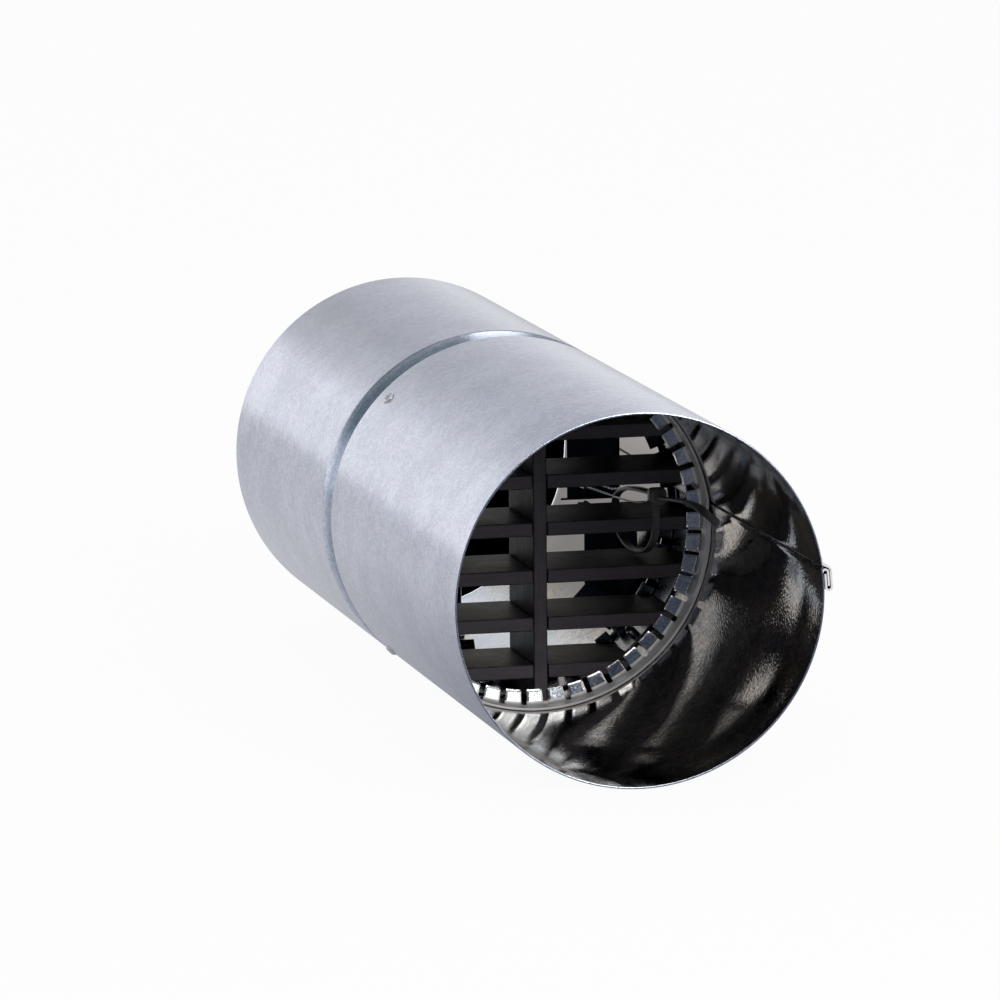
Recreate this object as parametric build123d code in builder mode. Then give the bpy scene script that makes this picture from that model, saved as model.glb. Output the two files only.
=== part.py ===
from build123d import *
from math import cos, floor, pi, radians, sin, sqrt
import os

# Intumescent fire damper for a round duct, in millimetres.
# The origin is the centre of the inlet end. +Y runs along the duct to the outlet, +Z is up.

# Sleeve
duct_d = 160.0
wall = 1.0
sleeve_length = 445.0
end_fit_length = 25.0
end_fit_play = 0.1
end_fit_cone = 2.0

# Folded lock seam outside the sleeve
seam_angle = 4.0
seam_width = 10.5
seam_height = 3.6
seam_slit = 0.35
seam_slit_length = 8.4
seam_corner_r = 0.9

# Intumescent core
core_front = 191.5
slat_depth = 46.0
slat_thickness = 6.2
slat_share = 0.265
slat_edge_break = 0.5
upright_x = 4.0
upright_gap = 0.5
core_play = 0.6
shortest_slat = 30.0

# Toothed clamp rings
ring_sheet = 1.0
ring_play = 0.3
tooth_reach = 7.5
tooth_pitch = 10.2
tooth_slot = 2.6
slot_into_leg = 2.0
front_leg = 12.5
rear_leg = 24.0
ring_joint_gap = 1.5

# Groove rolled into the sleeve, steep on the core's side
groove_play = 0.5
groove_depth = 3.0
groove_rise = 2.4
groove_flat = 6.0
groove_run_out = 9.6
groove_bend_r = 1.5

# Blind rivets
rivet_d = 3.2
rivet_head_d = 6.2
rivet_head_height = 1.3
rivet_bulb_d = 4.4
rivet_bulb_length = 3.2
rivet_edge = 9.5
rivet_hole_play = 0.05
rivet_bulb_play = 0.1
rivet_bulb_round = 0.8
mandrel_d = 1.7
mandrel_head_d = 3.0
mandrel_head_length = 1.6
mandrel_play = 0.03
mandrel_sunk = 0.4
rivet_first_angle = 45.0
rivet_count = 4

# Stop brackets on the sleeve behind the groove
stop_rear = 336.0
stop_sheet = 1.0
stop_from_core = 5.0
stop_foot_from_groove = 2.0
stop_rib_gap = 0.8
stop_relief_slope = 0.63
upper_stop_from_wall = 26.0
lower_stop_from_wall = 18.0
upper_stop_edge_z = 4.0
upper_stop_drop = 15.4
lower_stop_edge_z = -12.0
stop_foot = 9.0
stop_lip = 4.0
stop_lip_length = 52.0
stop_corner_r = 4.0

# Smoke flaps on their spindle
spindle_d = 4.0
spindle_play = 0.05
flap_sheet = 0.8
flap_rim_gap = 2.5
flap_stop_gap = 0.3
hinge_gap = 0.65
flap_end_clearance = 1.0
outer_knuckle = (40.0, 62.0)
inner_knuckle = (17.0, 39.0)
spring_window = 14.0
spring_window_depth = 7.0
notch_depth = 12.0
seal_thickness = 1.4
seal_width = 6.0
seal_overhang = 1.5
seal_from_spindle = 17.0

# Spindle brackets, bent strips on the wall
bracket_width = 14.0
bracket_sheet = 1.2
bracket_raise = 4.0
bracket_half_top = 7.0
bracket_half_length = 16.0
bracket_ramp = 2.4
bracket_hole_play = 0.05
spindle_stub = 1.5

# Retaining clips
clip_thickness = 0.8
clip_r = 4.2
clip_groove_depth = 0.5
clip_play = 0.05
clip_end_play = 0.3
clip_mouth = 2.6

# Torsion spring
spring_wire_d = 0.8
spring_coil_r = 3.3
spring_full_turns = 3
spring_pitch = 1.7
spring_leg_reach = 26.0
spring_leg_play = 0.15

# Cable tie round the middle slat
tie_from_wall = 22.5
tie_turn = 4.5
tie_width = 3.6
tie_thickness = 1.2
tie_slack = 0.5
tie_sag_room = 3.2
tie_back_rise = 3.5
tie_corner = 8.0
tie_head_width = 7.6
tie_head_depth = 6.0
tie_head_height = 7.4
tie_head_lift = 6.2
tie_front_play = 9.0
tie_back_play = 3.0
tail_reach = 88.0
# Stations along the tail: share of its reach, share of its drift, twist in degrees
tail_stations = ((0, 0, 0), (0.12, 0.35, -20), (0.4, 0.8, -35), (0.7, 0.95, 10), (1, 1, 50))
tail_drift = 6.0
tie_bend_r = 3.3
tie_head_round = 1.2

# Release wire, two strands
wire_d = 1.0
wire_hole_d = 3.0
wire_hole_from_spindle = 55.0
strand_z_low = 12.0
strand_z_high = 18.0
bight_z = 10.2
bight_from_strap = 4.0
# Points of the strands from the tie's middle in X, from the core's front in Y, and in Z
low_strand_back = (-6.6, 49.5, 5.4)
high_strand_arch = ((1.7, 20.5, 12.0), (-1.9, 37.5, 11.0))
high_strand_back = (-6.1, 48.5, 8.2)
wire_play = 0.35
wire_turn = 2.4
wire_bend_r = 1.4
wire_end_gap = 0.6
ferrule_from_core = 24.0
ferrule_play = 0.05
ferrule_length = 9.0
ferrule_wall = 0.7

duct_r = duct_d / 2
bore_r = duct_r - wall
core_back = core_front + slat_depth
slat_pitch = duct_r * slat_share
ring_r = bore_r - ring_play
leg_r = ring_r - ring_sheet
core_r = leg_r - core_play
tooth_r = bore_r - tooth_reach
tooth_count = floor(2 * pi * bore_r / tooth_pitch)
groove_start = core_back + ring_sheet + wall + groove_play
groove_end = groove_start + groove_rise + groove_flat + groove_run_out
rivet_y = core_back + ring_sheet - rear_leg + rivet_edge
rivet_angles = [rivet_first_angle + i * 360 / rivet_count for i in range(rivet_count)]
stop_front = core_back + stop_from_core
upper_stop_x = bore_r - upper_stop_from_wall
lower_stop_x = bore_r - lower_stop_from_wall
foot_front = groove_end + stop_foot_from_groove
spindle_r = spindle_d / 2
knuckle_in_r = spindle_r + spindle_play
knuckle_out_r = knuckle_in_r + flap_sheet
spindle_y = stop_rear + flap_stop_gap + knuckle_out_r
flap_r = bore_r - flap_rim_gap
hinge_edge = clip_r + hinge_gap
bracket_foot_z = sqrt(bore_r**2 - (bracket_width / 2) ** 2) - bracket_sheet
bracket_inner_z = bracket_foot_z - bracket_raise
flap_end_z = bracket_inner_z - flap_end_clearance
wire_r = wire_d / 2

os.makedirs("parts", exist_ok=True)


# A plane across the duct: local x is X, local y is Z, and a negative extrusion runs to the outlet.
def across(y):
    return Plane.XZ.offset(-y)


# A plane square to a radius: local x runs along the duct and the normal points outward.
def radial(angle, y, radius):
    outward = Vector(cos(radians(angle)), 0, sin(radians(angle)))
    return Plane(origin=outward * radius + Vector(0, y, 0), x_dir=(0, 1, 0), z_dir=outward)


# A plane that holds a radius: local x runs outward and local y along the duct.
def along_radius(angle, y):
    outward = Vector(cos(radians(angle)), 0, sin(radians(angle)))
    return Plane(origin=(0, y, 0), x_dir=outward, z_dir=outward.cross(Vector(0, 1, 0)))


def save(part, name):
    part.label = name
    export_step(part, f"parts/{name}.step")


# Sleeve: one sheet rolled round, with the groove, the folded seam and the rivet holes.
# Both mouths are sized a little wider, where a duct coupling slides in.
with BuildPart() as sleeve:
    with BuildSketch(Plane.XY):
        with BuildLine():
            outside = FilletPolyline(
                (duct_r, 0),
                (duct_r, groove_start),
                (duct_r - groove_depth, groove_start + groove_rise),
                (duct_r - groove_depth, groove_start + groove_rise + groove_flat),
                (duct_r, groove_end),
                (duct_r, sleeve_length),
                radius=groove_bend_r,
            )
            offset(outside, amount=wall, side=Side.LEFT)
        make_face()
        for mouth_y, inward in ((0, 1), (sleeve_length, -1)):
            with BuildLine():
                Polyline(
                    (bore_r, mouth_y),
                    (bore_r + end_fit_play, mouth_y),
                    (bore_r + end_fit_play, mouth_y + inward * end_fit_length),
                    (bore_r, mouth_y + inward * (end_fit_length + end_fit_cone)),
                    close=True,
                )
            make_face(mode=Mode.SUBTRACT)
    revolve(axis=Axis.Y)
    with BuildSketch(across(0)):
        with Locations(Location((0, 0, 0), (0, 0, 1), seam_angle)):
            with Locations((duct_r + (seam_height - wall) / 2, 0)):
                RectangleRounded(seam_height + wall, seam_width, seam_corner_r)
            for share, side in ((0.25, 1), (0.6, -1)):
                slit_z = side * (seam_width - seam_slit_length) / 2
                with Locations((duct_r + seam_height * share, slit_z)):
                    Rectangle(seam_slit, seam_slit_length + seam_slit, mode=Mode.SUBTRACT)
    extrude(amount=-sleeve_length)
    with BuildSketch(*[radial(angle, rivet_y, 0) for angle in rivet_angles]):
        Circle(rivet_d / 2 + rivet_hole_play)
    extrude(amount=duct_r + wall, mode=Mode.SUBTRACT)
save(sleeve.part, "sleeve")


# Clamp ring: an L strip rolled to the bore, its inward flange slit into teeth.
# back_y is the face of the teeth towards the outlet. The leg runs from it towards the inlet.
def clamp_ring(back_y, leg):
    slot_start = back_y - ring_sheet - slot_into_leg
    slot_planes = [
        radial(seam_angle + i * 360 / tooth_count, back_y, tooth_r - ring_sheet)
        for i in range(tooth_count)
    ]
    with BuildPart() as ring:
        with BuildSketch(Plane.XY):
            with BuildLine():
                Polyline(
                    (ring_r, back_y - leg),
                    (ring_r, back_y),
                    (tooth_r, back_y),
                    (tooth_r, back_y - ring_sheet),
                    (leg_r, back_y - ring_sheet),
                    (leg_r, back_y - leg),
                    close=True,
                )
            make_face()
        revolve(axis=Axis.Y)
        with BuildSketch(*slot_planes):
            with Locations(((slot_start - back_y) / 2, 0)):
                Rectangle(back_y - slot_start + ring_sheet / 2, tooth_slot)
            with Locations((slot_start - back_y, 0)):
                RegularPolygon(tooth_slot / 2, 6)
        extrude(amount=tooth_reach + 2 * ring_sheet, mode=Mode.SUBTRACT)
        with BuildSketch(slot_planes[0]):
            with Locations((-leg / 2, 0)):
                Rectangle(leg + ring_sheet, ring_joint_gap)
        extrude(amount=tooth_reach + 2 * ring_sheet, mode=Mode.SUBTRACT)
    return ring


front_ring = clamp_ring(core_front, front_leg)
save(front_ring.part, "front_clamp_ring")

with BuildPart() as rear_ring:
    add(clamp_ring(core_back + ring_sheet, rear_leg).part)
    with BuildSketch(*[radial(angle, rivet_y, 0) for angle in rivet_angles]):
        Circle(rivet_d / 2 + rivet_hole_play)
    extrude(amount=duct_r, mode=Mode.SUBTRACT)
save(rear_ring.part, "rear_clamp_ring")


# Blind rivets: low dome outside, hollow shank, bulb set against the ring's leg
bulb_top = leg_r - rivet_bulb_play
bulb_end = bulb_top - rivet_bulb_length
mandrel_r = mandrel_d / 2
with BuildPart() as rivets:
    for angle in rivet_angles:
        with BuildSketch(along_radius(angle, rivet_y)):
            with BuildLine():
                Polyline(
                    (bulb_end, mandrel_r),
                    (bulb_end, rivet_bulb_d / 2 - rivet_bulb_round),
                    (bulb_end + rivet_bulb_round, rivet_bulb_d / 2),
                    (bulb_top, rivet_bulb_d / 2),
                    (bulb_top, rivet_d / 2),
                    (duct_r, rivet_d / 2),
                    (duct_r, rivet_head_d / 2),
                    (duct_r + rivet_head_height * 0.7, rivet_head_d * 0.38),
                    (duct_r + rivet_head_height, mandrel_r),
                    close=True,
                )
            make_face()
        revolve(axis=Axis((0, rivet_y, 0), along_radius(angle, rivet_y).x_dir))
save(rivets.part, "blind_rivets")

# Broken mandrels left in the rivets, each with its head behind the bulb
with BuildPart() as mandrels:
    for angle in rivet_angles:
        with BuildSketch(along_radius(angle, rivet_y)):
            with BuildLine():
                Polyline(
                    (bulb_end - mandrel_head_length, 0),
                    (bulb_end - mandrel_head_length, mandrel_r),
                    (bulb_end - mandrel_head_length / 2, mandrel_head_d / 2),
                    (bulb_end, mandrel_head_d / 2),
                    (bulb_end, mandrel_r - mandrel_play),
                    (duct_r + rivet_head_height - mandrel_sunk, mandrel_r - mandrel_play),
                    (duct_r + rivet_head_height - mandrel_sunk, 0),
                    close=True,
                )
            make_face()
        revolve(axis=Axis((0, rivet_y, 0), along_radius(angle, rivet_y).x_dir))
save(mandrels.part, "rivet_mandrels")


# Core: one upright slat, and level slats that butt against it from both sides
with BuildPart() as upright:
    with BuildSketch(across(core_front)):
        Circle(core_r)
        with Locations((upright_x, 0)):
            Rectangle(slat_thickness, 2 * core_r, mode=Mode.INTERSECT)
    extrude(amount=-slat_depth)
    chamfer(upright.edges().filter_by(Axis.Z), slat_edge_break)
save(upright.part, "upright_slat")


def level_slat(z, side):
    inner_end = upright_x + side * (slat_thickness / 2 + upright_gap)
    with BuildPart() as slat:
        with BuildSketch(across(core_front)):
            Circle(core_r)
            with Locations((inner_end + side * core_r, z)):
                Rectangle(2 * core_r, slat_thickness, mode=Mode.INTERSECT)
        extrude(amount=-slat_depth)
        chamfer(slat.edges().filter_by(Axis.X), slat_edge_break)
    return slat


highest_slat = sqrt(core_r**2 - shortest_slat**2) - slat_thickness / 2
slats_above_middle = floor(highest_slat / slat_pitch)
for side, side_name in ((-1, "left"), (1, "right")):
    for i in range(-slats_above_middle, slats_above_middle + 1):
        slat = level_slat(i * slat_pitch, side)
        save(slat.part, f"slat_{side_name}_{i + slats_above_middle + 1}")


# Stop bracket: a sheet plate along the duct with a foot rolled to the wall and a stiffening lip.
# It is drawn as the upper right one. The other three are its mirror images with their own sizes.
def stop_bracket(plate_x, edge_z, drop, right, upper):
    inner_face = plate_x - stop_sheet / 2
    outer_face = plate_x + stop_sheet / 2
    length = stop_rear - stop_front
    slope = drop / length
    relief_z = sqrt((bore_r - groove_depth - stop_rib_gap) ** 2 - outer_face**2)
    relief_front_z = relief_z - stop_relief_slope * (groove_end - stop_front)
    lip_start = stop_rear - stop_corner_r - stop_lip_length
    lip_end = stop_rear - stop_corner_r
    with BuildPart() as bracket:
        with BuildSketch(Plane.YZ.offset(inner_face)):
            with BuildLine():
                Polyline(
                    (stop_front, edge_z),
                    (stop_rear, edge_z - drop),
                    (stop_rear, bore_r),
                    (foot_front, bore_r),
                    (foot_front, relief_z),
                    (groove_end, relief_z),
                    (stop_front, relief_front_z),
                    close=True,
                )
            outline = make_face()
            rear_corner = outline.vertices().sort_by(Axis.Y)[-2:].sort_by(Axis.Z)[0]
            fillet(rear_corner, stop_corner_r)
        extrude(amount=stop_sheet)
        with BuildSketch(Plane.YZ.offset(inner_face)):
            with BuildLine():
                Polyline(
                    (lip_start, edge_z - slope * (lip_start - stop_front)),
                    (lip_end, edge_z - slope * (lip_end - stop_front)),
                    (lip_end, edge_z - slope * (lip_end - stop_front) + stop_sheet),
                    (lip_start, edge_z - slope * (lip_start - stop_front) + stop_sheet),
                    close=True,
                )
            make_face()
        extrude(amount=-stop_lip)
        with BuildSketch(across(foot_front)):
            Circle(bore_r)
            Circle(bore_r - stop_sheet, mode=Mode.SUBTRACT)
            with Locations((outer_face - stop_foot / 2, bore_r / 2)):
                Rectangle(stop_foot, bore_r, mode=Mode.INTERSECT)
        extrude(amount=-(stop_rear - foot_front - stop_corner_r))
        with BuildSketch(across(stop_front)):
            Circle(bore_r)
        extrude(amount=-length, mode=Mode.INTERSECT)
        if not right:
            mirror(about=Plane.YZ, mode=Mode.REPLACE)
        if not upper:
            mirror(about=Plane.XY, mode=Mode.REPLACE)
    return bracket


for right, side_name in ((False, "left"), (True, "right")):
    upper_stop = stop_bracket(upper_stop_x, upper_stop_edge_z, upper_stop_drop, right, True)
    save(upper_stop.part, f"stop_bracket_upper_{side_name}")
    lower_stop = stop_bracket(lower_stop_x, -lower_stop_edge_z, 0, right, False)
    save(lower_stop.part, f"stop_bracket_lower_{side_name}")


# Spindle bracket: a strip bent into a low bridge, its feet on the wall
def spindle_bracket(upper):
    ramp_end = bracket_half_top + bracket_ramp
    pad = bracket_half_length - ramp_end
    with BuildPart() as bracket:
        with BuildSketch(Plane.YZ.offset(-bracket_width / 2)):
            with BuildLine():
                bridge = Polyline(
                    (spindle_y - bracket_half_length, bracket_foot_z),
                    (spindle_y - ramp_end, bracket_foot_z),
                    (spindle_y - bracket_half_top, bracket_inner_z),
                    (spindle_y + bracket_half_top, bracket_inner_z),
                    (spindle_y + ramp_end, bracket_foot_z),
                    (spindle_y + bracket_half_length, bracket_foot_z),
                )
                offset(bridge, amount=bracket_sheet, side=Side.LEFT)
            make_face()
            for end in (-1, 1):
                middle = spindle_y + end * (bracket_half_length - pad / 2)
                with Locations((middle, bracket_foot_z + bracket_sheet)):
                    Rectangle(pad, 2 * bracket_sheet)
        extrude(amount=bracket_width)
        with BuildSketch(across(spindle_y - bracket_half_length)):
            Circle(bore_r)
        extrude(amount=-2 * bracket_half_length, mode=Mode.INTERSECT)
        with BuildSketch(Plane.XY):
            with Locations((0, spindle_y)):
                Circle(spindle_r + bracket_hole_play)
        extrude(amount=bore_r, mode=Mode.SUBTRACT)
        if not upper:
            mirror(about=Plane.XY, mode=Mode.REPLACE)
    return bracket


save(spindle_bracket(True).part, "spindle_bracket_upper")
save(spindle_bracket(False).part, "spindle_bracket_lower")


# Spindle with a groove for each retaining clip
spindle_half = bracket_inner_z + bracket_sheet + spindle_stub
clip_lows = []
for low in (outer_knuckle[1] + clip_end_play, bracket_inner_z - clip_end_play - clip_thickness):
    clip_lows.append(low)
    clip_lows.append(-low - clip_thickness)
clip_groove_r = spindle_r - clip_groove_depth

with BuildPart() as spindle:
    with BuildSketch(Plane.XY.offset(-spindle_half)):
        with Locations((0, spindle_y)):
            Circle(spindle_r)
    extrude(amount=2 * spindle_half)
    chamfer(spindle.faces().filter_by(Axis.Z).edges(), spindle_d / 10)
    with BuildSketch(*[Plane.XY.offset(low - clip_play) for low in clip_lows]):
        with Locations((0, spindle_y)):
            Circle(spindle_r + wall)
            Circle(clip_groove_r, mode=Mode.SUBTRACT)
    extrude(amount=clip_thickness + 2 * clip_play, mode=Mode.SUBTRACT)
save(spindle.part, "flap_spindle")

with BuildPart() as clips:
    with BuildSketch(*[Plane.XY.offset(low) for low in clip_lows]):
        with Locations((0, spindle_y)):
            Circle(clip_r)
            Circle(clip_groove_r + clip_play, mode=Mode.SUBTRACT)
        with Locations((0, spindle_y - clip_r / 2)):
            Rectangle(clip_mouth, clip_r, mode=Mode.SUBTRACT)
    extrude(amount=clip_thickness)
save(clips.part, "spindle_clips")


# Smoke flap: a half disc folded back along the duct, with rolled knuckles on the spindle.
# side is -1 for the left flap and 1 for the right one.
def smoke_flap(side, knuckle):
    knuckle_spans = [knuckle, (-knuckle[1], -knuckle[0])]
    knuckle_length = knuckle[1] - knuckle[0]
    outer_face = side * knuckle_out_r
    with BuildPart() as flap:
        with BuildSketch(Plane.YZ.offset(outer_face)):
            with Locations((spindle_y, 0)):
                Circle(flap_r)
            with Locations((spindle_y + hinge_edge + flap_r, 0)):
                Rectangle(2 * flap_r, 2 * flap_r, mode=Mode.INTERSECT)
            for span in knuckle_spans:
                with Locations((spindle_y + hinge_edge / 2, sum(span) / 2)):
                    Rectangle(hinge_edge, knuckle_length)
            for end in (-1, 1):
                with Locations((spindle_y + notch_depth / 2, end * (flap_end_z + flap_r) / 2)):
                    Rectangle(notch_depth, flap_r - flap_end_z, mode=Mode.SUBTRACT)
            with Locations((spindle_y + spring_window_depth / 2, 0)):
                Rectangle(spring_window_depth, 2 * spring_window, mode=Mode.SUBTRACT)
            for z in (strand_z_low, strand_z_high):
                with Locations((spindle_y + wire_hole_from_spindle, z)):
                    Circle(wire_hole_d / 2, mode=Mode.SUBTRACT)
        extrude(amount=-side * flap_sheet)
        with BuildSketch(*[Plane.XY.offset(span[0]) for span in knuckle_spans]):
            with Locations((0, spindle_y)):
                Circle(knuckle_out_r)
                Circle(knuckle_in_r, mode=Mode.SUBTRACT)
        extrude(amount=knuckle_length)
    return flap


save(smoke_flap(-1, outer_knuckle).part, "smoke_flap_left")
save(smoke_flap(1, inner_knuckle).part, "smoke_flap_right")


# Soft strip glued round the rim of a flap, on the face that looks downstream when it is shut
def flap_seal(side):
    seal_r = flap_r + seal_overhang
    with BuildPart() as seal:
        with BuildSketch(Plane.YZ.offset(side * knuckle_in_r)):
            with Locations((spindle_y, 0)):
                Circle(seal_r)
                Circle(seal_r - seal_width, mode=Mode.SUBTRACT)
            with Locations((spindle_y + seal_from_spindle + seal_r, 0)):
                Rectangle(2 * seal_r, 2 * seal_r, mode=Mode.INTERSECT)
        extrude(amount=-side * seal_thickness)
    return seal


save(flap_seal(-1).part, "flap_seal_left")
save(flap_seal(1).part, "flap_seal_right")


# Torsion spring on the spindle, its crossed legs against the inner faces of the flaps.
# Four corners, filleted to the coil's own radius, make each turn.
spring_corners = 4 * spring_full_turns + 2
coil_bottom = -(spring_corners - 1) * spring_pitch / 8
leg_x = knuckle_in_r - spring_wire_d / 2 - spring_leg_play
coil_path = []
for i in range(spring_corners):
    corner_x = spring_coil_r * (-1 if i % 4 in (0, 3) else 1)
    corner_y = spring_coil_r * (-1 if i % 4 in (0, 1) else 1)
    coil_path.append((corner_x, spindle_y + corner_y, coil_bottom + i * spring_pitch / 4))
first_leg = [
    (leg_x, spindle_y + spring_leg_reach, coil_bottom),
    (leg_x, spindle_y + spring_leg_reach / 2, coil_bottom),
    (-spring_coil_r, spindle_y + spring_coil_r, coil_bottom),
]
last_leg = [
    (spring_coil_r, spindle_y + spring_coil_r, -coil_bottom),
    (-leg_x, spindle_y + spring_leg_reach / 2, -coil_bottom),
    (-leg_x, spindle_y + spring_leg_reach, -coil_bottom),
]
leg_radii = [2 * spring_wire_d] * 2
coil_radii = [0.98 * spring_coil_r] * spring_corners
with BuildPart() as spring:
    with BuildLine() as spring_line:
        FilletPolyline(
            *first_leg,
            *coil_path,
            *last_leg,
            radius=leg_radii + coil_radii + leg_radii,
        )
    with BuildSketch(Plane(spring_line.line @ 0, z_dir=spring_line.line % 0)):
        Circle(spring_wire_d / 2)
    sweep(path=spring_line.line)
save(spring.part, "torsion_spring")


# Cable tie: a strap round the middle right slat, its head in front and its tail towards the inlet
tie_x = bore_r - tie_from_wall
tie_front_y = core_front - tie_slack - tie_thickness / 2
tie_back_y = core_back + tie_back_play + tie_thickness / 2
tie_top_z = slat_thickness / 2 + tie_slack + tie_thickness / 2
tie_low_z = slat_thickness / 2 + tie_sag_room - slat_pitch
tie_back_low_z = tie_low_z + tie_back_rise
head_z = slat_thickness / 2 + tie_head_lift + tie_head_height / 2
head_front_y = tie_front_y + tie_thickness / 2 - tie_head_depth
strap_turn = Vector(-sin(radians(tie_turn)), cos(radians(tie_turn)), 0)
strap_across = Vector(cos(radians(tie_turn)), sin(radians(tie_turn)), 0)
strap_plane = Plane(
    origin=Vector(tie_x, tie_front_y, 0) - strap_turn * tie_front_y,
    x_dir=strap_turn,
    z_dir=strap_across,
)
with BuildPart() as tie:
    with BuildSketch(strap_plane):
        with BuildLine():
            FilletPolyline(
                (tie_front_y, head_z - tie_head_height / 4),
                (tie_front_y, tie_low_z + tie_corner),
                (tie_front_y + tie_corner, tie_low_z),
                (tie_back_y - tie_corner, tie_back_low_z),
                (tie_back_y, tie_back_low_z + tie_corner),
                (tie_back_y, tie_top_z),
                (tie_front_y + 1.5 * tie_front_play, tie_top_z),
                (tie_front_y + tie_front_play / 2, head_z),
                (tie_front_y, head_z),
                radius=tie_bend_r,
            )
        trace(line_width=tie_thickness)
    extrude(amount=tie_width / 2, both=True)
    with Locations((tie_x, head_front_y + tie_head_depth / 2, head_z)):
        Box(tie_head_width, tie_head_depth, tie_head_height)
    head_edges = tie.faces().sort_by(Axis.Y)[0].edges()
    fillet(head_edges, tie_head_round)
    for reach, drift, twist in tail_stations:
        station = Plane(
            origin=(tie_x + tail_drift * drift, head_front_y + 0.2 - tail_reach * reach, head_z),
            x_dir=(cos(radians(twist)), 0, sin(radians(twist))),
            z_dir=(0, -1, 0),
        )
        with BuildSketch(station):
            Rectangle(tie_width, tie_thickness)
    loft(ruled=True)
save(tie.part, "cable_tie")


# Release wire: a loop from the cable tie, through the core and both flaps, and back.
# Its two ends meet inside the ferrule.
bight_middle = Vector(tie_x, tie_front_y, bight_z) + strap_turn * bight_from_strap
bight_half = strap_across * (tie_width / 2 + wire_r + wire_play)
hole_y = spindle_y + wire_hole_from_spindle
turn_x = knuckle_out_r + wire_turn
strand_origin = Vector(tie_x, core_front, 0)
strand_start = strand_origin + Vector(low_strand_back)
strand_way = (Vector(turn_x, hole_y, strand_z_low) - strand_start).normalized()
joint_at = ferrule_from_core + ferrule_length / 2
with BuildPart() as wire:
    with BuildLine() as wire_line:
        FilletPolyline(
            strand_start + strand_way * (joint_at + wire_end_gap / 2),
            (turn_x, hole_y, strand_z_low),
            (-turn_x, hole_y, strand_z_low),
            (-turn_x, hole_y, strand_z_high),
            (turn_x, hole_y, strand_z_high),
            strand_origin + Vector(high_strand_back),
            strand_origin + Vector(high_strand_arch[1]),
            strand_origin + Vector(high_strand_arch[0]),
            bight_middle + bight_half,
            bight_middle - bight_half,
            strand_start,
            strand_start + strand_way * (joint_at - wire_end_gap / 2),
            radius=wire_bend_r,
        )
    with BuildSketch(Plane(wire_line.line @ 0, z_dir=wire_line.line % 0)):
        Circle(wire_r)
    sweep(path=wire_line.line)
save(wire.part, "release_wire")

# Crimp ferrule on the lower strand
ferrule_plane = Plane(strand_start + strand_way * ferrule_from_core, z_dir=strand_way)
with BuildPart() as ferrule:
    with BuildSketch(ferrule_plane):
        Circle(wire_r + ferrule_play + ferrule_wall)
        Circle(wire_r + ferrule_play, mode=Mode.SUBTRACT)
    extrude(amount=ferrule_length)
save(ferrule.part, "wire_ferrule")
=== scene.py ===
import bpy
import math
import random
from mathutils import Matrix, Vector


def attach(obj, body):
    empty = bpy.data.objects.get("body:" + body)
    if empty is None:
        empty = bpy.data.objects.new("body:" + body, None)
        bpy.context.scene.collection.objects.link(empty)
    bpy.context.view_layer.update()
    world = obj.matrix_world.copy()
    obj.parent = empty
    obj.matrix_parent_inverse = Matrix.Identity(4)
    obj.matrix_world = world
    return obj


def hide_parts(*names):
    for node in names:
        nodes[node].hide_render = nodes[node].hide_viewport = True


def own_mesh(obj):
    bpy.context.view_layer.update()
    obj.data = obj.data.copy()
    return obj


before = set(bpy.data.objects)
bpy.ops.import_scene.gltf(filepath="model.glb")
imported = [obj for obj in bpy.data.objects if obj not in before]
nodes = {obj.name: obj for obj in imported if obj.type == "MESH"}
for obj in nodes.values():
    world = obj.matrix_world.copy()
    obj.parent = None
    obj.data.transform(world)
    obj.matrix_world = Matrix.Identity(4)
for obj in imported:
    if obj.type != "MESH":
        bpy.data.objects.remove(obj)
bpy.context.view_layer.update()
scene = bpy.context.scene
mm = 0.001  # the values of the pieces are in millimetres, the scene is in metres
print("frame loaded:", len(nodes), "nodes")


# Meshes

def addPiece(name, points, faces, sharpAbove=35):
    mesh = bpy.data.meshes.new(name)
    mesh.from_pydata([tuple(point) for point in points], [], faces)
    mesh.validate()
    mesh.shade_smooth()
    mesh.set_sharp_from_angle(angle=math.radians(sharpAbove))
    piece = bpy.data.objects.new(name, mesh)
    scene.collection.objects.link(piece)
    return piece


# a point by its radius, its place along the duct and its angle from +X up
def onDuct(radius, y, angle):
    turn = math.radians(angle)
    return Vector((radius * math.cos(turn), y, radius * math.sin(turn))) * mm


# joins rings of points, each as long as the next, into a skin of quads
def skinRings(rings, closeAlong=False):
    points = [point for ring in rings for point in ring]
    around = len(rings[0])
    faces = []
    for i in range(len(rings) if closeAlong else len(rings) - 1):
        low, high = i * around, (i + 1) % len(rings) * around
        for j in range(around):
            k = (j + 1) % around
            faces.append((low + j, low + k, high + k, high + j))
    return points, faces


# the same skin, closed at both ends
def capped(rings):
    points, faces = skinRings(rings)
    count = len(rings[0])
    faces.append(tuple(reversed(range(count))))
    faces.append(tuple(range(len(points) - count, len(points))))
    return points, faces


# several skins wrapped up as one mesh
def wrapPieces(parts):
    points, faces = [], []
    for newPoints, newFaces in parts:
        start = len(points)
        points += newPoints
        faces += [tuple(start + i for i in face) for face in newFaces]
    return points, faces


# cuts every corner, round after round, until the line runs smoothly
def smoothLine(corners, rounds=3):
    line = [Vector(corner) for corner in corners]
    for _ in range(rounds):
        cut = [line[0]]
        for a, b in zip(line, line[1:]):
            cut += [a.lerp(b, 0.25), a.lerp(b, 0.75)]
        line = cut + [line[-1]]
    return line


# spots at even steps along a line
def evenly(line, step):
    spots, left = [line[0]], step
    for a, b in zip(line, line[1:]):
        length = (b - a).length
        while left <= length:
            spots.append(a.lerp(b, left / length))
            left += step
        left -= length
    return spots + [line[-1]]


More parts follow.
